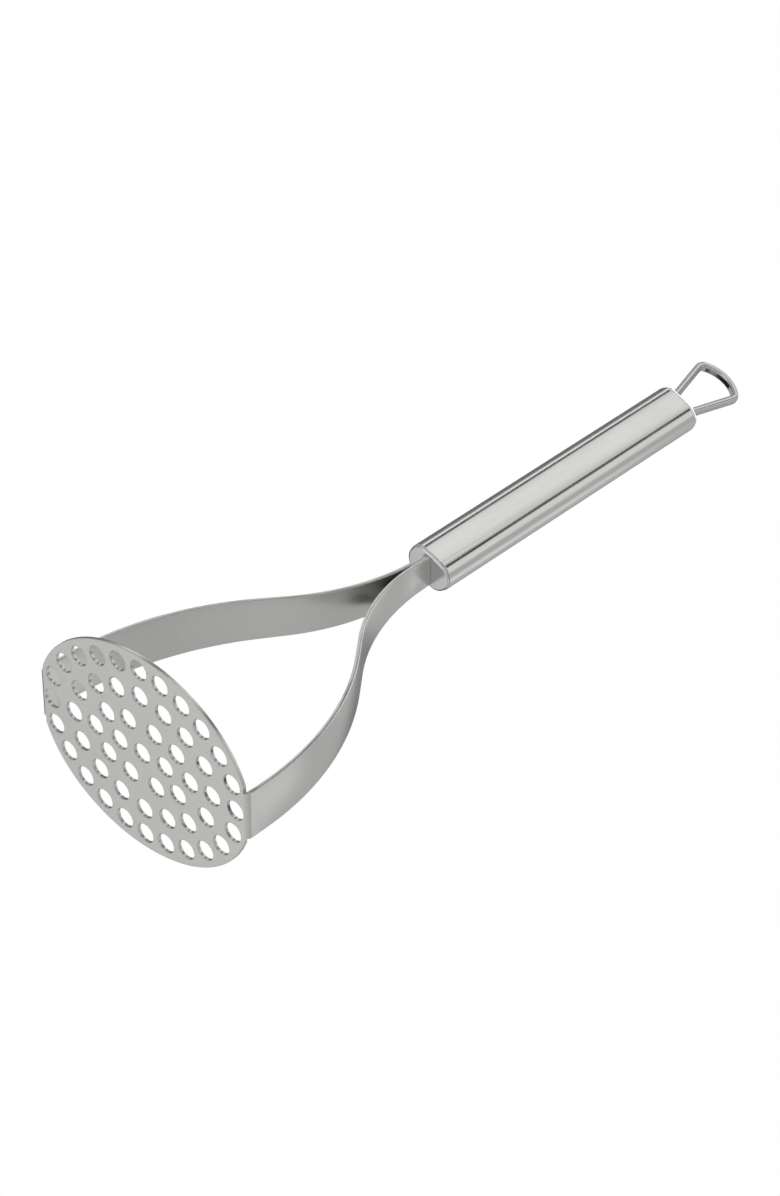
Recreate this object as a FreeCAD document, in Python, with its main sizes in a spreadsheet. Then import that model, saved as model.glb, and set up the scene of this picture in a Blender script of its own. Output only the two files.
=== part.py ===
import FreeCAD, Part
import math
import os
import Sketcher
from FreeCAD import Rotation, Vector

# Potato masher: a perforated oval plate whose two legs rise into a hollow oval handle
# with a hanging loop. Millimetres, +Z up the handle. The origin is the centre of the
# plate's underside, which is the face that the tool stands and mashes on.

SIZES = {
    # sheet that the plate and both legs are pressed from
    "sheet": 1.5,
    "plate_half_length": 50.7,
    "plate_half_width": 41.75,
    "foot_x": 50.3,
    "bend_inner": 0.4,
    # leg side view: a large lower bend, a straight run and an upper bend back to vertical
    "lower_start": 7.4,
    "lower_bend": 121.4,
    "lean": 37.6,
    "upper_bend": 81.5,
    "leg_gap": 0.1,
    # leg front view: half width at the foot and at the handle
    "foot_half": 9.65,
    "tip_half": 6.1,
    "tang_end": 158.0,
    "hole_dia": 7.6,
    # handle: one flattened oval section for tube and caps, turned about its own axis
    "handle_turn": 22.0,
    "crease_half": 5.6,
    "crease_depth": 6.5,
    "face_radius": 45.0,
    "side_radius": 6.9,
    "wall": 1.0,
    "cap_face": 145.3,
    "cap_lip": 1.1,
    "cap_round": 0.8,
    "lip_inset": 0.3,
    "seam": 0.2,
    "tube_round": 0.4,
    "plug_depth": 6.0,
    "tube_end": 289.0,
    "handle_end": 292.0,
    "end_round": 2.6,
    "slot_clear": 0.05,
    # hanging loop: flat-sided bar bent to a rounded triangle
    "bar_thick": 2.7,
    "bar_width": 3.8,
    "bar_round": 1.0,
    "loop_root": 284.5,
    "loop_root_half": 2.35,
    "loop_flare": 13.4,
    "loop_crown": 320.4,
    "loop_crown_r": 13.8,
    "loop_corner_r": 3.2,
}

# hole centres of one quarter of the plate; each is repeated to the other quarters
HOLES = {
    "row": [(0, 0), (11.0, 0)],
    "inner": [(23.0, 0), (16.9, 8.8), (6.3, 11.5)],
    "middle": [(33.5, 0), (30.2, 11.1), (21.5, 18.7), (11.3, 22.6), (0, 24.5)],
    "outer": [(44.5, 0), (43.1, 10.4), (37.3, 19.3), (29.4, 26.4), (20.1, 31.4), (10.1, 34.4), (0, 35.6)],
}

os.makedirs("parts", exist_ok=True)
doc = FreeCAD.newDocument("masher")
sheet = doc.addObject("Spreadsheet::Sheet", "dims")


def fill_sheet():
    """Put every driving size in the sheet, one alias each."""
    rows = dict(SIZES)
    for ring, centres in HOLES.items():
        for k, (x, y) in enumerate(centres):
            rows["hole_%s_%d_x" % (ring, k)] = x
            rows["hole_%s_%d_y" % (ring, k)] = y
    for n, (alias, value) in enumerate(rows.items(), start=1):
        sheet.set("A%d" % n, alias)
        sheet.set("B%d" % n, str(value))
        sheet.setAlias("B%d" % n, alias)
    doc.recompute()


def size(alias):
    return float(sheet.get(alias))


def new_body(label):
    body = doc.addObject("PartDesign::Body", label)
    body.Label = label
    return body


def origin_plane(body, role):
    for feature in body.Origin.OriginFeatures:
        if feature.Role == role:
            return feature
    raise RuntimeError("no plane " + role)


def new_sketch(body, name, role, height=None):
    """A sketch on one of the body's own planes, raised along that plane's normal."""
    sketch = body.newObject("Sketcher::SketchObject", name)
    sketch.AttachmentSupport = [(origin_plane(body, role), "")]
    sketch.MapMode = "FlatFace"
    if height:
        sketch.setExpression("AttachmentOffset.Base.z", height)
    return sketch


def bind(sketch, kind, args, expression, value):
    """Add a dimension that the sheet drives."""
    index = sketch.addConstraint(Sketcher.Constraint(kind, *args, value))
    sketch.setExpression("Constraints[%d]" % index, expression)
    return index


def pad(body, sketch, name, length, symmetric=False, reversed_=False):
    feature = body.newObject("PartDesign::Pad", name)
    feature.Profile = sketch
    feature.setExpression("Length", length)
    feature.Midplane = symmetric
    feature.Reversed = reversed_
    sketch.Visibility = False
    doc.recompute()
    return feature


def pocket(body, sketch, name, length=None, reversed_=False, symmetric=False):
    feature = body.newObject("PartDesign::Pocket", name)
    feature.Profile = sketch
    if length:
        feature.setExpression("Length", length)
    else:
        feature.Type = 1
    feature.Midplane = symmetric
    feature.Reversed = reversed_
    sketch.Visibility = False
    before = body.Shape.Volume
    doc.recompute()
    if not feature.Shape.Volume < before - 1.0:
        raise RuntimeError(name + " removes nothing")
    return feature


def arc(cx, cy, radius, start, end):
    circle = Part.Circle(Vector(cx, cy, 0), Vector(0, 0, 1), radius)
    return Part.ArcOfCircle(circle, math.radians(start), math.radians(end))


def segment(a, b):
    return Part.LineSegment(Vector(a[0], a[1], 0), Vector(b[0], b[1], 0))


def oval(sketch, inset="0", inset_value=0.0):
    """The handle's section: two shallow broad faces and two rounded sides, meeting at soft creases."""
    x = size("crease_half") - 0.25 * inset_value
    y = size("crease_depth") - 0.97 * inset_value
    face = size("face_radius") - inset_value
    side = size("side_radius") - inset_value
    face_y = y - math.sqrt(face ** 2 - x ** 2)
    side_x = x - math.sqrt(side ** 2 - y ** 2)
    across = math.degrees(math.asin(x / face))
    up = math.degrees(math.asin(y / side))
    top = sketch.addGeometry(arc(0, face_y, face, 90 - across, 90 + across))
    left = sketch.addGeometry(arc(-side_x, 0, side, 180 - up, 180 + up))
    low = sketch.addGeometry(arc(0, -face_y, face, 270 - across, 270 + across))
    right = sketch.addGeometry(arc(side_x, 0, side, -up, up))
    for first, second in ((top, left), (left, low), (low, right), (right, top)):
        sketch.addConstraint(Sketcher.Constraint("Coincident", first, 2, second, 1))
    corners = ((top, 1, 1, 1), (top, 2, -1, 1), (low, 1, -1, -1), (low, 2, 1, -1))
    for edge, point, sx, sy in corners:
        span = (-1, 1, edge, point) if sx > 0 else (edge, point, -1, 1)
        bind(sketch, "DistanceX", span, "dims.crease_half - 0.25 * (%s)" % inset, x)
        span = (-1, 1, edge, point) if sy > 0 else (edge, point, -1, 1)
        bind(sketch, "DistanceY", span, "dims.crease_depth - 0.97 * (%s)" % inset, y)
    curves = ((top, "face", face), (low, "face", face), (left, "side", side), (right, "side", side))
    for edge, name, radius in curves:
        bind(sketch, "Radius", (edge,), "dims.%s_radius - (%s)" % (name, inset), radius)


def oval_reach():
    """Half width and half depth of the handle's section."""
    x, y = size("crease_half"), size("crease_depth")
    face, side = size("face_radius"), size("side_radius")
    half_width = x + side - math.sqrt(side ** 2 - y ** 2)
    half_depth = y + face - math.sqrt(face ** 2 - x ** 2)
    return half_width, half_depth


def turn_handle(body):
    """Turn a handle piece about its axis; its sketches carry their own heights."""
    body.setExpression("Placement.Rotation.Angle", "dims.handle_turn")
    body.Placement.Rotation = Rotation(Vector(0, 0, 1), size("handle_turn"))


def leg_profile(sketch):
    """Side view of one leg, from the end of the flat plate to the end of its tang."""
    t = size("sheet")
    out_x = size("foot_x")
    bend = size("bend_inner")
    start = size("lower_start")
    low_r = size("lower_bend")
    up_r = size("upper_bend")
    gap = size("leg_gap") / 2
    end = size("tang_end")
    lean = size("lean")
    s, c = math.sin(math.radians(lean)), math.cos(math.radians(lean))
    in_x = out_x - t
    flat = out_x - t - bend
    run = (in_x - gap - (low_r + up_r) * (1 - c)) / s
    low_c = (in_x - low_r, start)
    up_c = (gap + up_r, start + (low_r + up_r) * s + run * c)

    def on(centre, radius, angle):
        a = math.radians(angle)
        return (centre[0] + radius * math.cos(a), centre[1] + radius * math.sin(a))

    add = sketch.addGeometry
    b_out = add(arc(flat, bend + t, bend + t, 270, 360))
    v_out = add(segment((out_x, bend + t), (out_x, start)))
    a_out = add(arc(low_c[0], low_c[1], low_r + t, 0, lean))
    l_out = add(segment(on(low_c, low_r + t, lean), on(up_c, up_r - t, 180 + lean)))
    u_out = add(arc(up_c[0], up_c[1], up_r - t, 180, 180 + lean))
    t_out = add(segment((gap + t, up_c[1]), (gap + t, end)))
    tip = add(segment((gap + t, end), (gap, end)))
    t_in = add(segment((gap, end), (gap, up_c[1])))
    u_in = add(arc(up_c[0], up_c[1], up_r, 180, 180 + lean))
    l_in = add(segment(on(up_c, up_r, 180 + lean), on(low_c, low_r, lean)))
    a_in = add(arc(low_c[0], low_c[1], low_r, 0, lean))
    v_in = add(segment((in_x, start), (in_x, bend + t)))
    b_in = add(arc(flat, bend + t, bend, 270, 360))
    close = add(segment((flat, t), (flat, 0)))
    chain = [
        (b_out, 2, v_out, 1), (v_out, 2, a_out, 1), (a_out, 2, l_out, 1), (l_out, 2, u_out, 2),
        (u_out, 1, t_out, 1), (t_in, 2, u_in, 1), (u_in, 2, l_in, 1), (l_in, 2, a_in, 2),
        (a_in, 1, v_in, 1), (v_in, 2, b_in, 2),
    ]
    for joint in chain:
        sketch.addConstraint(Sketcher.Constraint("Tangent", *joint))
    for joint in ((t_out, 2, tip, 1), (tip, 2, t_in, 1), (b_in, 1, close, 1), (close, 2, b_out, 1),
                  (b_in, 3, b_out, 3), (a_in, 3, a_out, 3), (u_in, 3, u_out, 3)):
        sketch.addConstraint(Sketcher.Constraint("Coincident", *joint))
    for line in (v_out, t_out, t_in, close):
        sketch.addConstraint(Sketcher.Constraint("Vertical", line))
    sketch.addConstraint(Sketcher.Constraint("Horizontal", tip))
    bind(sketch, "Radius", (b_in,), "dims.bend_inner", bend)
    bind(sketch, "Radius", (b_out,), "dims.bend_inner + dims.sheet", bend + t)
    bind(sketch, "Radius", (a_in,), "dims.lower_bend", low_r)
    bind(sketch, "Radius", (a_out,), "dims.lower_bend + dims.sheet", low_r + t)
    bind(sketch, "Radius", (u_in,), "dims.upper_bend", up_r)
    bind(sketch, "Radius", (u_out,), "dims.upper_bend - dims.sheet", up_r - t)
    bind(sketch, "DistanceX", (-1, 1, close, 2), "dims.foot_x - dims.sheet - dims.bend_inner", flat)
    bind(sketch, "DistanceX", (-1, 1, b_out, 3), "dims.foot_x - dims.sheet - dims.bend_inner", flat)
    sketch.addConstraint(Sketcher.Constraint("PointOnObject", close, 2, -1))
    bind(sketch, "DistanceY", (-1, 1, a_out, 3), "dims.lower_start", start)
    bind(sketch, "DistanceX", (-1, 1, t_in, 1), "dims.leg_gap / 2", gap)
    bind(sketch, "DistanceY", (-1, 1, t_in, 1), "dims.tang_end", end)
    bind(sketch, "Angle", (-2, 1, l_out, 1), "dims.lean", math.radians(lean))


def plate_outline(sketch):
    """Oval plate, cut square at both ends, where the legs bend up from it."""
    a, b = size("plate_half_length"), size("plate_half_width")
    flat = size("foot_x") - size("sheet") - size("bend_inner")
    corner_y = b * math.sqrt(1 - (flat / a) ** 2)
    angle = math.asin(corner_y / b)
    ellipse = Part.Ellipse(Vector(a, 0, 0), Vector(0, b, 0), Vector(0, 0, 0))
    upper = sketch.addGeometry(Part.ArcOfEllipse(ellipse, angle, math.pi - angle))
    lower = sketch.addGeometry(Part.ArcOfEllipse(ellipse, math.pi + angle, 2 * math.pi - angle))
    for side in (1, -1):
        end = sketch.addGeometry(segment((flat * side, corner_y), (flat * side, -corner_y)))
        points = (1, 2) if side > 0 else (2, 1)
        sketch.addConstraint(Sketcher.Constraint("Coincident", upper, points[0], end, 1))
        sketch.addConstraint(Sketcher.Constraint("Coincident", end, 2, lower, points[1]))
        sketch.addConstraint(Sketcher.Constraint("Vertical", end))
        span = (-1, 1, end, 1) if side > 0 else (end, 1, -1, 1)
        bind(sketch, "DistanceX", span, "dims.foot_x - dims.sheet - dims.bend_inner", flat)


def leg_taper(sketch):
    """Waste beside each leg: it narrows along a long arc, then runs straight as the tang."""
    wide, tip = size("foot_half"), size("tip_half")
    low, high = size("lower_start"), size("cap_face")
    top = size("tang_end") + 2
    rise, inset = high - low, wide - tip
    radius = (rise ** 2 + inset ** 2) / (2 * inset)
    sweep = math.degrees(math.asin(rise / radius))
    expression = ("((dims.cap_face - dims.lower_start) ^ 2 + (dims.foot_half - dims.tip_half) ^ 2)"
                  " / (2 * (dims.foot_half - dims.tip_half))")
    for side in (1, -1):
        if side > 0:
            edge = sketch.addGeometry(arc(wide - radius, low, radius, 0, sweep))
            start, end = 1, 2
        else:
            edge = sketch.addGeometry(arc(radius - wide, low, radius, 180 - sweep, 180))
            start, end = 2, 1
        points = [(tip, high), (tip, top), (20, top), (20, low), (wide, low)]
        points = [(y * side, z) for y, z in points]
        lines = [sketch.addGeometry(segment(p, q)) for p, q in zip(points, points[1:])]
        sketch.addConstraint(Sketcher.Constraint("Coincident", edge, end, lines[0], 1))
        for one, two in zip(lines, lines[1:]):
            sketch.addConstraint(Sketcher.Constraint("Coincident", one, 2, two, 1))
        sketch.addConstraint(Sketcher.Constraint("Coincident", lines[3], 2, edge, start))
        for upright in (lines[0], lines[2]):
            sketch.addConstraint(Sketcher.Constraint("Vertical", upright))
        for level in (lines[1], lines[3]):
            sketch.addConstraint(Sketcher.Constraint("Horizontal", level))
        bind(sketch, "Radius", (edge,), expression, radius)
        for point, name, x in ((start, "foot_half", wide), (end, "tip_half", tip)):
            span = (-1, 1, edge, point) if side > 0 else (edge, point, -1, 1)
            bind(sketch, "DistanceX", span, "dims." + name, x)
        bind(sketch, "DistanceY", (-1, 1, edge, start), "dims.lower_start", low)
        bind(sketch, "DistanceY", (-1, 1, edge, end), "dims.cap_face", high)
        bind(sketch, "DistanceY", (-1, 1, lines[1], 1), "dims.tang_end + 2", top)
        span = (-1, 1, lines[2], 1) if side > 0 else (lines[2], 1, -1, 1)
        sketch.addConstraint(Sketcher.Constraint("DistanceX", *span, 20))


def plate_holes(sketch):
    """Every hole of the plate, as one circle each."""
    r = size("hole_dia") / 2
    for ring, centres in HOLES.items():
        for k in range(len(centres)):
            name = "hole_%s_%d_" % (ring, k)
            x, y = size(name + "x"), size(name + "y")
            for sx in ((1, -1) if x else (1,)):
                for sy in ((1, -1) if y else (1,)):
                    hole = sketch.addGeometry(Part.Circle(Vector(x * sx, y * sy, 0), Vector(0, 0, 1), r))
                    for kind, value, sign, axis in (("DistanceX", x, sx, "x"), ("DistanceY", y, sy, "y")):
                        if value == 0:
                            line = -2 if axis == "x" else -1
                            sketch.addConstraint(Sketcher.Constraint("PointOnObject", hole, 3, line))
                            continue
                        span = (-1, 1, hole, 3) if sign > 0 else (hole, 3, -1, 1)
                        bind(sketch, kind, span, "dims." + name + axis, value)
                    bind(sketch, "Radius", (hole,), "dims.hole_dia / 2", r)


def build_head():
    body = new_body("mashing_head")
    outline = new_sketch(body, "plate_outline", "XY_Plane")
    plate_outline(outline)
    pad(body, outline, "plate", "dims.sheet")
    side = new_sketch(body, "leg_side", "XZ_Plane")
    leg_profile(side)
    leg = pad(body, side, "leg", "2 * dims.foot_half", symmetric=True)
    mirror = body.newObject("PartDesign::Mirrored", "leg_pair")
    mirror.Originals = [leg]
    mirror.MirrorPlane = (origin_plane(body, "YZ_Plane"), [""])
    body.Tip = mirror
    doc.recompute()
    front = new_sketch(body, "leg_front", "YZ_Plane")
    leg_taper(front)
    pocket(body, front, "leg_waste", "160", symmetric=True)
    holes = new_sketch(body, "hole_layout", "XY_Plane")
    plate_holes(holes)
    pocket(body, holes, "holes", "dims.sheet + 1", reversed_=True)
    return body


def round_edges(body, feature, name, height, radius, margin=0.07):
    """Round the outermost edges of the flat face at one height, and none of the bore's."""
    edges = []
    half_width, half_depth = oval_reach()
    for n, edge in enumerate(feature.Shape.Edges, start=1):
        level = all(abs(v.Z - height) < 1e-4 for v in edge.Vertexes)
        middle = edge.valueAt((edge.FirstParameter + edge.LastParameter) / 2)
        outside = math.hypot(middle.x / half_width, middle.y / half_depth)
        if level and outside > 1.0 - margin:
            edges.append("Edge%d" % n)
    fillet = body.newObject("PartDesign::Fillet", name)
    fillet.Base = (feature, edges)
    fillet.setExpression("Radius", radius)
    doc.recompute()
    return fillet


def build_tube():
    body = new_body("handle_tube")
    outer = new_sketch(body, "tube_outer", "XY_Plane", "dims.cap_face + dims.cap_lip + dims.seam")
    oval(outer)
    span = "dims.tube_end - dims.cap_face - dims.cap_lip - dims.seam"
    pad(body, outer, "tube", span)
    inner = new_sketch(body, "tube_inner", "XY_Plane", "dims.cap_face + dims.cap_lip + dims.seam")
    oval(inner, "dims.wall", size("wall"))
    pocket(body, inner, "bore", span + " + 1", reversed_=True)
    round_edges(body, body.Tip, "tube_front_round", size("cap_face") + size("cap_lip") + size("seam"),
                "dims.tube_round")
    turn_handle(body)
    return body


def build_front_cap():
    body = new_body("front_cap")
    face = new_sketch(body, "cap_outline", "XY_Plane", "dims.cap_face")
    oval(face, "dims.lip_inset", size("lip_inset"))
    lip = pad(body, face, "lip", "dims.cap_lip")
    round_edges(body, lip, "lip_round", size("cap_face"), "dims.cap_round")
    plug = new_sketch(body, "plug_outline", "XY_Plane", "dims.cap_face + dims.cap_lip")
    oval(plug, "dims.wall", size("wall"))
    pad(body, plug, "plug", "dims.plug_depth")
    turn_handle(body)
    return body


def build_slot_tool():
    """Block that cuts the slot both tangs pass through, square to the legs."""
    block = doc.addObject("Part::Box", "slot_block")
    block.setExpression("Length", "2 * dims.sheet + dims.leg_gap + 2 * dims.slot_clear")
    block.setExpression("Width", "2 * dims.tip_half + 2 * dims.slot_clear")
    block.setExpression("Height", "dims.plug_depth + 10")
    block.setExpression("Placement.Base.x", "-(dims.sheet + dims.leg_gap / 2 + dims.slot_clear)")
    block.setExpression("Placement.Base.y", "-(dims.tip_half + dims.slot_clear)")
    block.setExpression("Placement.Base.z", "dims.cap_face - 2")
    return block


def build_rear_cap():
    body = new_body("rear_cap_blank")
    outline = new_sketch(body, "rear_outline", "XY_Plane", "dims.tube_end")
    oval(outline)
    dome = pad(body, outline, "dome", "dims.handle_end - dims.tube_end")
    round_edges(body, dome, "dome_round", size("handle_end"), "dims.end_round")
    plug = new_sketch(body, "rear_plug", "XY_Plane", "dims.tube_end")
    oval(plug, "dims.wall", size("wall"))
    pad(body, plug, "rear_plug_pad", "dims.plug_depth", reversed_=True)
    turn_handle(body)
    return body


def build_loop():
    """Flat-sided bar swept along a rounded triangle, its ends open towards the handle."""
    flare = math.radians(size("loop_flare"))
    root = Vector(size("loop_root_half"), 0, size("loop_root"))
    crown_r, corner_r = size("loop_crown_r"), size("loop_corner_r")
    crown_z = size("loop_crown") - crown_r
    along = Vector(math.sin(flare), 0, math.cos(flare))
    inward = Vector(-math.cos(flare), 0, math.sin(flare))
    # corner centre: one corner radius in from the leg line, and that much inside the crown arc
    base = root + inward * corner_r - Vector(0, 0, crown_z)
    reach = crown_r - corner_r
    b = base.dot(along)
    step = -b + math.sqrt(b * b - base.dot(base) + reach * reach)
    corner = root + inward * corner_r + along * step
    leg_end = root + along * step
    crown_dir = (corner - Vector(0, 0, crown_z)).normalize()
    crown_end = corner + crown_dir * corner_r
    corner_mid = corner + (crown_dir - inward).normalize() * corner_r

    def other(v):
        return Vector(-v.x, v.y, v.z)

    top = Vector(0, 0, size("loop_crown"))
    edges = [
        Part.makeLine(root, leg_end),
        Part.Arc(leg_end, corner_mid, crown_end).toShape(),
        Part.Arc(crown_end, top, other(crown_end)).toShape(),
        Part.Arc(other(crown_end), other(corner_mid), other(leg_end)).toShape(),
        Part.makeLine(other(leg_end), other(root)),
    ]
    path = Part.Wire(edges)
    thick, width, r = size("bar_thick") / 2, size("bar_width") / 2, size("bar_round")
    half_t, half_w = thick - r, width - r
    k = r * math.sqrt(0.5)
    flat = []
    for sx, sy in ((1, 1), (-1, 1), (-1, -1), (1, -1)):
        first = Vector(sx * thick, sy * half_w, 0)
        mid = Vector(sx * (half_t + k), sy * (half_w + k), 0)
        last = Vector(sx * half_t, sy * width, 0)
        trio = (first, mid, last) if sx * sy > 0 else (last, mid, first)
        flat.append(trio)
    outline = []
    for one, two in zip(flat, flat[1:] + flat[:1]):
        outline.append(Part.Arc(*one).toShape())
        outline.append(Part.makeLine(one[2], two[0]))
    section = Part.Wire(outline)
    section.rotate(Vector(0, 0, 0), Vector(0, 1, 0), size("loop_flare"))
    section.translate(root)
    solid = path.makePipeShell([section], True, False)
    loop = doc.addObject("Part::Feature", "hanging_loop")
    loop.Label = "hanging_loop"
    loop.Shape = solid
    loop.Placement.Rotation = Rotation(Vector(0, 0, 1), size("handle_turn"))
    return loop


def cut(label, base, tool):
    result = doc.addObject("Part::Cut", label)
    result.Label = label
    result.Base = base
    result.Tool = tool
    doc.recompute()
    return result


def export(item):
    shape = item.Shape
    bad = [flag for flag in ("Invalid", "Error") if flag in item.State]
    if shape.isNull() or not shape.isValid() or bad:
        raise RuntimeError("%s is not sound: %s" % (item.Label, bad))
    print(item.Label, "solids", len(shape.Solids), "volume %.1f" % shape.Volume, shape.BoundBox)
    shape.exportStep("parts/%s.step" % item.Label)


fill_sheet()
head = build_head()
tube = build_tube()
cap_blank = build_front_cap()
cap_blank.Label = "front_cap_blank"
front_cap = cut("front_cap", cap_blank, build_slot_tool())
loop = build_loop()
rear_cap = cut("rear_cap", build_rear_cap(), loop)
doc.recompute()
for item in doc.Objects:
    if "Invalid" in item.State or "Error" in item.State:
        raise RuntimeError(item.Name + " did not recompute")
for part in (head, front_cap, tube, rear_cap, loop):
    export(part)
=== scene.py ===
import math

import bmesh
import bpy
from mathutils import Matrix, Vector


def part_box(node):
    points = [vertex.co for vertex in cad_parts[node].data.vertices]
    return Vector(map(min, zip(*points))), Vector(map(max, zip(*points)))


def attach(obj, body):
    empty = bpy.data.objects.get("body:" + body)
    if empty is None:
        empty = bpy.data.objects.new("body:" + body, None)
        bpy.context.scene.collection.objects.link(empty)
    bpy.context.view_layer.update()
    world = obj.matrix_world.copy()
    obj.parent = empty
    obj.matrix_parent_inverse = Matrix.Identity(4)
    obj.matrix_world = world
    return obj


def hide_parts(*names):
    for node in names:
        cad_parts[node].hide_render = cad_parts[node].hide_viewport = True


bl_info = {
    "name": "Potato Masher",
    "version": (1, 0, 0),
    "blender": (4, 5, 0),
    "location": "3D View > Sidebar > Masher",
    "description": "Finishes a stainless potato masher: pressed head, oval handle, end caps and hanging loop",
    "category": "Object",
}

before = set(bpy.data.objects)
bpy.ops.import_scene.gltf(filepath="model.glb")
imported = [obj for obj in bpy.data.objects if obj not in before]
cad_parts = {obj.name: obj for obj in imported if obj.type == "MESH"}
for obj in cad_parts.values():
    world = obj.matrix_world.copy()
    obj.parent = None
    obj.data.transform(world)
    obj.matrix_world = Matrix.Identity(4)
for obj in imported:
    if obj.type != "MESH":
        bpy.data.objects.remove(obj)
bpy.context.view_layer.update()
MM = 0.001

# places on the object, from the frame
PLATE_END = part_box("mashing_head")[1].x
HANDLE_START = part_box("front_cap")[0].z

# the handle's section, which is turned about the handle's axis
HANDLE_TURN = math.radians(22)
CREASE_HALF_WIDTH = 5.6 * MM
CREASE_HALF_DEPTH = 6.5 * MM

# an edge that turns by more than RIM_ANGLE is a rim; smooth shading breaks past BREAK_ANGLE
RIM_ANGLE = math.radians(40)
BREAK_ANGLE = math.radians(38)


# ---------------------------------------------------------------- helpers


def linear(hex_colour):
    """An sRGB hex colour as linear RGBA."""
    channels = []
    for k in (1, 3, 5):
        c = int(hex_colour[k:k + 2], 16) / 255
        channels.append(c / 12.92 if c <= 0.04045 else ((c + 0.055) / 1.055) ** 2.4)
    return (*channels, 1.0)


def node(tree, kind, links=None, inputs=None, stops=(), **settings):
    """Add one node: its linked inputs, its set inputs, its colour stops and its own settings."""
    made = tree.nodes.new(kind)
    for name, value in settings.items():
        setattr(made, name, value)
    for name, value in (inputs or {}).items():
        made.inputs[name].default_value = value
    for name, source in (links or {}).items():
        tree.links.new(source, made.inputs[name])
    for k, (position, colour) in enumerate(stops):
        made.color_ramp.elements[k].position = position
        made.color_ramp.elements[k].color = colour
    return made


def new_material(name):
    """An empty material and its node tree."""
    material = bpy.data.materials.new(name)
    material.use_nodes = True
    material.node_tree.nodes.clear()
    return material, material.node_tree


# ---------------------------------------------------------------- sizes and colours


class MasherFinish(bpy.types.PropertyGroup):
    """Colours and surface sizes that a user would change."""

    sheet_colour: bpy.props.StringProperty(
        name="Sheet colour", description="sRGB hex of the pressed sheet", default="#C9CAC7")
    tube_colour: bpy.props.StringProperty(
        name="Tube colour", description="sRGB hex of the handle tube", default="#D2D2D0")
    cap_colour: bpy.props.StringProperty(
        name="Cap colour", description="sRGB hex of the end caps", default="#D0D1D1")
    bar_colour: bpy.props.StringProperty(
        name="Bar colour", description="sRGB hex of the hanging loop", default="#BCBDBD")
    grain: bpy.props.FloatProperty(
        name="Brush line spacing", description="Width of one brushed line",
        default=0.25 * MM, min=0.0, unit="LENGTH")
    edge_round: bpy.props.FloatProperty(
        name="Sheet edge round", description="Radius left on the sheet's edges by tumbling",
        default=0.22 * MM, min=0.0, unit="LENGTH")
    crease_round: bpy.props.FloatProperty(
        name="Crease round", description="Half the width of the round between the tube's face and side",
        default=0.7 * MM, min=0.0, unit="LENGTH")


class MasherStage(bpy.types.PropertyGroup):
    """Camera and floor."""

    lens: bpy.props.FloatProperty(
        name="Lens", description="Focal length on a 36 mm wide sensor", default=105.8, min=1.0)
    eye: bpy.props.FloatVectorProperty(
        name="Eye", description="Where the camera stands", default=(0.6866, -0.7560, -0.6316),
        size=3, subtype="TRANSLATION")
    azimuth: bpy.props.FloatProperty(
        name="Azimuth", description="Heading from the object back to the camera",
        default=math.radians(-47.831), subtype="ANGLE")
    elevation: bpy.props.FloatProperty(
        name="Elevation", description="Height of the camera as an angle, below zero under the plate",
        default=math.radians(-36.497), subtype="ANGLE")
    roll: bpy.props.FloatProperty(
        name="Roll", description="Turn of the camera about its own view",
        default=math.radians(57.138), subtype="ANGLE")
    floor_depth: bpy.props.FloatProperty(
        name="Floor depth", description="How far the floor lies below the plate",
        default=1.9, min=0.1, unit="LENGTH")


# ---------------------------------------------------------------- materials


def drawn_lines(tree, where, line, along, stretch, detail, roughness):
    """Straight lines, one line wide and stretched along one axis."""
    # real lines are finer than these, but would not show
    scale = [1 / (stretch * line) if k == along else 1 / line for k in range(3)]
    stretched = node(tree, "ShaderNodeMapping", {"Vector": where}, {"Scale": scale})
    lines = node(tree, "ShaderNodeTexNoise", {"Vector": stretched.outputs["Vector"]},
                 {"Scale": 1.0, "Detail": detail, "Roughness": roughness})
    return lines.outputs["Fac"]


def steel(tree, where, colour, dulling, lines, marks, rough, cloud, strength, depth, anisotropy=0.0):
    """Stainless steel: its lines tint it, its marks roughen and raise it, and faint clouds lie over both."""
    bright = linear(colour)
    dull = tuple(c * dulling for c in bright[:3]) + (1.0,)
    tint = node(tree, "ShaderNodeValToRGB", {"Fac": lines}, stops=((0.3, dull), (0.7, bright)))
    clouds = node(tree, "ShaderNodeTexNoise", {"Vector": where}, {"Scale": 1 / cloud, "Detail": 2.0})
    rough_marks = node(tree, "ShaderNodeMapRange", {"Value": marks},
                       {"To Min": rough[0], "To Max": rough[1]})
    rough_clouds = node(tree, "ShaderNodeMapRange", {"Value": clouds.outputs["Fac"]},
                        {"To Min": -0.03, "To Max": 0.03})
    total = node(tree, "ShaderNodeMath",
                 {0: rough_marks.outputs["Result"], 1: rough_clouds.outputs["Result"]}, operation="ADD")
    relief = node(tree, "ShaderNodeBump", {"Height": marks}, {"Strength": strength, "Distance": depth})
    shader = node(tree, "ShaderNodeBsdfPrincipled",
                  {"Base Color": tint.outputs["Color"], "Roughness": total.outputs["Value"],
                   "Normal": relief.outputs["Normal"]},
                  {"Metallic": 1.0, "Anisotropic": anisotropy})
    node(tree, "ShaderNodeOutputMaterial", {"Surface": shader.outputs["BSDF"]})


def brushed_steel(name, colour, line, along, rough, streak, anisotropy):
    """Stainless steel rubbed with a belt: fine straight lines that stretch each highlight across them."""
    material, tree = new_material(name)
    where = node(tree, "ShaderNodeTexCoord").outputs["Object"]
    lines = drawn_lines(tree, where, line, along, stretch=100, detail=3.0, roughness=0.6)
    # uneven pressure on the belt leaves the clouds
    steel(tree, where, colour, 0.86, lines, marks=lines, rough=(rough - streak, rough + streak),
          cloud=22.2 * MM, strength=0.05, depth=0.02 * MM, anisotropy=anisotropy)
    return material


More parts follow.
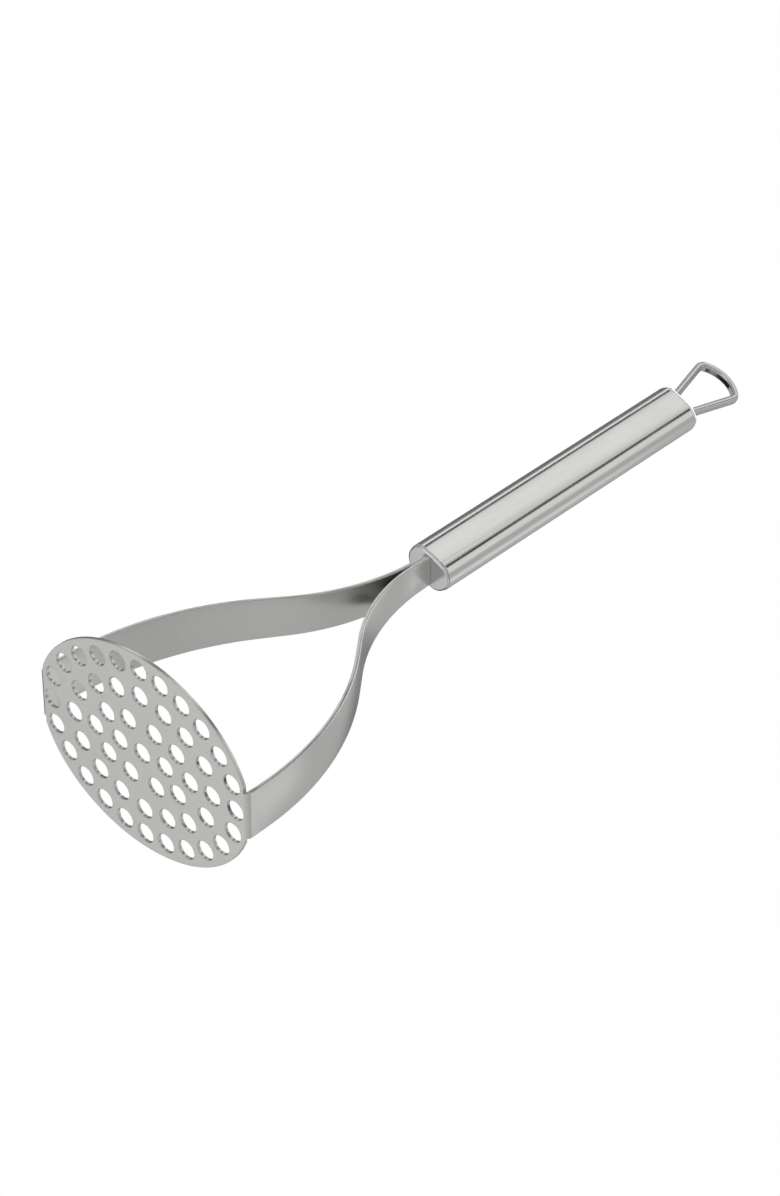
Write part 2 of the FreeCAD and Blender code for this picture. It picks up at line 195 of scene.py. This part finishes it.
def satin_sheet(name, colour, line):
    """Cold rolled stainless sheet, tumbled to a satin: a soft, slightly warm, nearly even grey."""
    material, tree = new_material(name)
    where = node(tree, "ShaderNodeTexCoord").outputs["Object"]
    # the lines are left by the rolls, and the grit by the tumbling stones
    lines = drawn_lines(tree, where, line, along=0, stretch=50, detail=4.0, roughness=0.65)
    grit = node(tree, "ShaderNodeTexNoise", {"Vector": where}, {"Scale": 1 / line, "Detail": 2.0})
    steel(tree, where, colour, 0.9, lines, marks=grit.outputs["Fac"], rough=(0.24, 0.34),
          cloud=33.3 * MM, strength=0.02, depth=0.01 * MM)
    return material


def matt_paint(name, colour, roughness, glow=0.0):
    """Matt paint or felt of the stage: no highlight, and a faint glow where it must look lit."""
    material, tree = new_material(name)
    shader = node(tree, "ShaderNodeBsdfPrincipled",
                  inputs={"Roughness": roughness, "Base Color": linear(colour),
                          "Emission Color": linear(colour), "Emission Strength": glow})
    node(tree, "ShaderNodeOutputMaterial", {"Surface": shader.outputs["BSDF"]})
    return material


# ---------------------------------------------------------------- pieces


def paint(obj, material):
    """Give an object one material."""
    obj.data.materials.clear()
    obj.data.materials.append(material)


def copied_mesh(node_name):
    """A CAD node's mesh as one joined surface without the triangles of its flat faces."""
    shape = bmesh.new()
    shape.from_mesh(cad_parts[node_name].data)
    bmesh.ops.remove_doubles(shape, verts=shape.verts, dist=0.002 * MM)
    bmesh.ops.dissolve_limit(shape, angle_limit=math.radians(0.3), verts=shape.verts, edges=shape.edges)
    bmesh.ops.recalc_face_normals(shape, faces=shape.faces)
    return shape


def stand_in(shape, piece_name, node_name):
    """Put a finished mesh in the scene in a CAD node's place."""
    mesh = bpy.data.meshes.new(piece_name)
    shape.to_mesh(mesh)
    shape.free()
    obj = bpy.data.objects.new(piece_name, mesh)
    bpy.context.scene.collection.objects.link(obj)
    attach(obj, "root")
    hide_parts(node_name)
    return obj


def at_foot(point):
    """Whether a point is in the block round one of the bends between plate and leg."""
    inward, sideways, up = 3.8 * MM, 12.7 * MM, 4.5 * MM
    return abs(point.x) > PLATE_END - inward and abs(point.y) < sideways and point.z < up


def rim_edges(shape):
    """Sharp edges of the head, without the short ones at its feet and those inside the handle."""
    found = []
    for edge in shape.edges:
        middle = (edge.verts[0].co + edge.verts[1].co) / 2
        if edge.calc_face_angle(0.0) > RIM_ANGLE and not at_foot(middle) and middle.z < HANDLE_START:
            found.append(edge)
    return found


def crease_edges(shape):
    """The four long edges of the handle's section where a broad face meets a rounded side."""
    tolerance, shortest = 0.05 * MM, 1 * MM
    unturn = Matrix.Rotation(-HANDLE_TURN, 3, "Z")
    found = []
    for edge in shape.edges:
        ends = [unturn @ vert.co for vert in edge.verts]
        on_crease = all(abs(abs(end.x) - CREASE_HALF_WIDTH) < tolerance
                        and abs(abs(end.y) - CREASE_HALF_DEPTH) < tolerance for end in ends)
        if on_crease and abs(ends[0].z - ends[1].z) > shortest:
            found.append(edge)
    return found


def shade(shape):
    """Smooth shading that breaks at sharp edges and stays flat on level faces."""
    level = 0.9999
    for face in shape.faces:
        face.smooth = abs(face.normal.z) < level
    for edge in shape.edges:
        edge.smooth = edge.calc_face_angle(0.0) < BREAK_ANGLE


class MASHER_OT_head(bpy.types.Operator):
    """Finish the pressed plate and its two legs"""

    bl_idname = "masher.head"
    bl_label = "Mashing head"

    def execute(self, context):
        finish = context.scene.masher_finish
        material = satin_sheet("stainless_satin_sheet", finish.sheet_colour, finish.grain)
        shape = copied_mesh("mashing_head")
        bmesh.ops.bevel(shape, geom=rim_edges(shape), offset=finish.edge_round, offset_type="OFFSET",
                        segments=3, profile=0.5, affect="EDGES", clamp_overlap=False, material=-1)
        shade(shape)
        head = stand_in(shape, "pressed_head", "mashing_head")
        paint(head, material)
        return {"FINISHED"}


class MASHER_OT_handle(bpy.types.Operator):
    """Finish the handle tube"""

    bl_idname = "masher.handle"
    bl_label = "Handle tube"

    def execute(self, context):
        finish = context.scene.masher_finish
        # brushed along the handle, so that its broad face carries one long soft highlight
        material = brushed_steel("stainless_brushed_tube", finish.tube_colour, finish.grain,
                                 along=2, rough=0.2, streak=0.04, anisotropy=0.3)
        shape = copied_mesh("handle_tube")
        creases = crease_edges(shape)
        if len(creases) < 4:
            raise RuntimeError("the handle's creases were not found")
        bmesh.ops.bevel(shape, geom=creases, offset=finish.crease_round, offset_type="OFFSET",
                        segments=6, profile=0.5, affect="EDGES", clamp_overlap=True, material=-1)
        shade(shape)
        tube = stand_in(shape, "brushed_tube", "handle_tube")
        paint(tube, material)
        return {"FINISHED"}


class MASHER_OT_caps(bpy.types.Operator):
    """Finish both end caps of the handle"""

    bl_idname = "masher.caps"
    bl_label = "End caps"

    def execute(self, context):
        finish = context.scene.masher_finish
        # ground across its width, a little quieter than the tube
        material = brushed_steel("stainless_satin_cap", finish.cap_colour, finish.grain,
                                 along=0, rough=0.2, streak=0.03, anisotropy=0.0)
        for name in ("front_cap", "rear_cap"):
            paint(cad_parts[name], material)
        return {"FINISHED"}


class MASHER_OT_loop(bpy.types.Operator):
    """Finish the hanging loop"""

    bl_idname = "masher.loop"
    bl_label = "Hanging loop"

    def execute(self, context):
        finish = context.scene.masher_finish
        # drawn and polished bar, with sharper bright and dark bands than the rest
        material = brushed_steel("stainless_polished_bar", finish.bar_colour, finish.grain,
                                 along=0, rough=0.12, streak=0.02, anisotropy=0.0)
        paint(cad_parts["hanging_loop"], material)
        return {"FINISHED"}


# ---------------------------------------------------------------- stage


def heading(azimuth, elevation):
    """Unit vector from an azimuth and an elevation in degrees."""
    a, e = math.radians(azimuth), math.radians(elevation)
    return Vector((math.cos(a) * math.cos(e), math.sin(a) * math.cos(e), math.sin(e)))


def aimed(azimuth, elevation, distance, height):
    """Placement at a distance from a point of the handle's axis, with -Z pointing back at it."""
    target = Vector((0.0, 0.0, height))
    place = target + heading(azimuth, elevation) * distance
    turn = (target - place).to_track_quat("-Z", "Y").to_matrix().to_4x4()
    return Matrix.Translation(place) @ turn


def flat_sheet(name, placement, material):
    """A flat rectangle of the stage, one unit across before it is placed."""
    mesh = bpy.data.meshes.new(name)
    shape = bmesh.new()
    bmesh.ops.create_grid(shape, x_segments=1, y_segments=1, size=0.5, matrix=placement)
    shape.to_mesh(mesh)
    shape.free()
    obj = bpy.data.objects.new(name, mesh)
    bpy.context.scene.collection.objects.link(obj)
    paint(obj, material)
    return obj


def card(name, placement, width, height, material):
    """A studio card that only shows in reflections."""
    obj = flat_sheet(name, placement @ Matrix.Diagonal((width, height, 1.0, 1.0)), material)
    obj.visible_camera = False
    obj.visible_shadow = False


def softbox(name, placement, width, height, radiance):
    """A rectangular soft light, as bright as radiance, that the camera doesn't see."""
    data = bpy.data.lights.new(name, "AREA")
    data.shape = "RECTANGLE"
    data.size, data.size_y = width, height
    data.energy = radiance * math.pi * width * height
    lamp = bpy.data.objects.new(name, data)
    lamp.matrix_world = placement
    lamp.visible_camera = False
    bpy.context.scene.collection.objects.link(lamp)


def studio_world(brightness, shade_brightness, shaded_side):
    """A white backdrop to the camera, and a soft grey tent with one shaded side to the steel."""
    white = (1.0, 1.0, 1.0, 1.0)
    world = bpy.data.worlds.new("white_tent")
    world.use_nodes = True
    tree = world.node_tree
    tree.nodes.clear()
    where = node(tree, "ShaderNodeTexCoord").outputs["Generated"]
    towards = node(tree, "ShaderNodeVectorMath", {0: where}, {1: shaded_side}, operation="DOT_PRODUCT")
    # the shade begins 32 degrees from its middle and is full within 14 degrees
    level = node(tree, "ShaderNodeMapRange", {"Value": towards.outputs["Value"]},
                 {"From Min": 0.85, "From Max": 0.97, "To Min": brightness, "To Max": shade_brightness},
                 interpolation_type="SMOOTHSTEP")
    tent = node(tree, "ShaderNodeBackground", {"Strength": level.outputs["Result"]}, {"Color": white})
    backdrop = node(tree, "ShaderNodeBackground", inputs={"Color": white, "Strength": 1.0})
    path = node(tree, "ShaderNodeLightPath")
    both = node(tree, "ShaderNodeMixShader",
                {0: path.outputs["Is Camera Ray"], 1: tent.outputs["Background"],
                 2: backdrop.outputs["Background"]})
    node(tree, "ShaderNodeOutputWorld", {"Surface": both.outputs["Shader"]})
    bpy.context.scene.world = world


def add_camera(stage):
    """The camera, placed and turned as the stage's sizes say."""
    data = bpy.data.cameras.new("camera")
    data.lens = stage.lens
    data.sensor_width = 36.0
    data.clip_end = 100.0
    camera = bpy.data.objects.new("camera", data)
    back = heading(math.degrees(stage.azimuth), math.degrees(stage.elevation))
    turn = back.to_track_quat("Z", "Y").to_matrix() @ Matrix.Rotation(stage.roll, 3, "Z")
    camera.matrix_world = Matrix.Translation(stage.eye) @ turn.to_4x4()
    bpy.context.scene.collection.objects.link(camera)
    bpy.context.scene.camera = camera


class MASHER_OT_stage(bpy.types.Operator):
    """Add the floor, the light and the camera"""

    bl_idname = "masher.stage"
    bl_label = "Stage"

    def execute(self, context):
        stage = context.scene.masher_stage
        floor_width = 60.0
        floor_place = Matrix.Translation((0, 0, -stage.floor_depth)) @ Matrix.Diagonal(
            (floor_width, floor_width, 1.0, 1.0))
        flat_sheet("floor", floor_place, matt_paint("floor_matt_paint", "#FAFAF9", 0.8, glow=0.12))

        # each place is azimuth, elevation, distance, height of the point it is aimed at; then come
        # width, height and, for a light, its radiance
        black = matt_paint("card_black_felt", "#1A1A1A", 0.9)
        # thin dark lines on both sides of the handle's bright face
        card("card_left", aimed(-116, 36, 2.5, 0.2), 0.8, 1.6, black)
        card("card_gap", aimed(-61.5, 36, 2.6, 0.2), 0.9, 1.6, black)
        # a dark inside to the loop
        card("card_loop", aimed(132, -36.5, 0.5, 0.33), 1.1, 0.26, black)
        # a dark upper rim to the plate, and a grey far edge to the handle
        grey = matt_paint("card_grey_felt", "#8C8C8C", 0.9)
        card("card_rim", aimed(180, 36, 2.4, 0.1), 1.8, 1.3, grey)

        # the handle's broad face
        softbox("softbox_front", aimed(-90, 36, 2.4, 0.2), 1.38, 1.3, 0.56)
        # the handle's far side, and the rims that face the same way
        softbox("softbox_left", aimed(-141, 36, 2.4, 0.2), 0.7, 1.3, 0.7)
        # the handle's near side
        softbox("softbox_right", aimed(-28, 36, 2.4, 0.2), 1.5, 1.3, 0.42)
        # the legs, and the outline of the handle's near side
        softbox("softbox_side", aimed(44, 30, 2.4, 0.2), 1.0, 1.0, 0.4)
        # the plate's underside
        softbox("softbox_low", aimed(132, -36.5, 1.0, -0.04), 1.0, 0.44, 0.22)
        # rims and bends that face down to the front
        softbox("softbox_low_front", aimed(-94, -44, 2.2, 0.2), 0.9, 0.9, 1.2)
        # the whole tool from above
        softbox("softbox_top", aimed(90, 90, 3.4, 0.0), 3.0, 3.0, 1.3)
        studio_world(brightness=0.6, shade_brightness=0.12, shaded_side=heading(135, 38))

        add_camera(stage)
        context.scene.view_settings.view_transform = "Standard"
        return {"FINISHED"}


class MASHER_PT_panel(bpy.types.Panel):
    """Sizes, colours and steps of the masher"""

    bl_idname = "MASHER_PT_panel"
    bl_label = "Potato Masher"
    bl_space_type = "VIEW_3D"
    bl_region_type = "UI"
    bl_category = "Masher"

    def draw(self, context):
        for group in (context.scene.masher_finish, context.scene.masher_stage):
            for name in group.__annotations__:
                self.layout.prop(group, name)
        for step in STEPS:
            self.layout.operator(step.bl_idname)


STEPS = (MASHER_OT_head, MASHER_OT_handle, MASHER_OT_caps, MASHER_OT_loop, MASHER_OT_stage)
CLASSES = (MasherFinish, MasherStage, *STEPS, MASHER_PT_panel)


def register():
    for cls in CLASSES:
        bpy.utils.register_class(cls)
    bpy.types.Scene.masher_finish = bpy.props.PointerProperty(type=MasherFinish)
    bpy.types.Scene.masher_stage = bpy.props.PointerProperty(type=MasherStage)


def unregister():
    del bpy.types.Scene.masher_stage
    del bpy.types.Scene.masher_finish
    for cls in reversed(CLASSES):
        bpy.utils.unregister_class(cls)


def main():
    """Make every piece and the stage."""
    register()
    bpy.ops.masher.head()
    bpy.ops.masher.handle()
    bpy.ops.masher.caps()
    bpy.ops.masher.loop()
    bpy.ops.masher.stage()


if __name__ == "__main__":
    main()
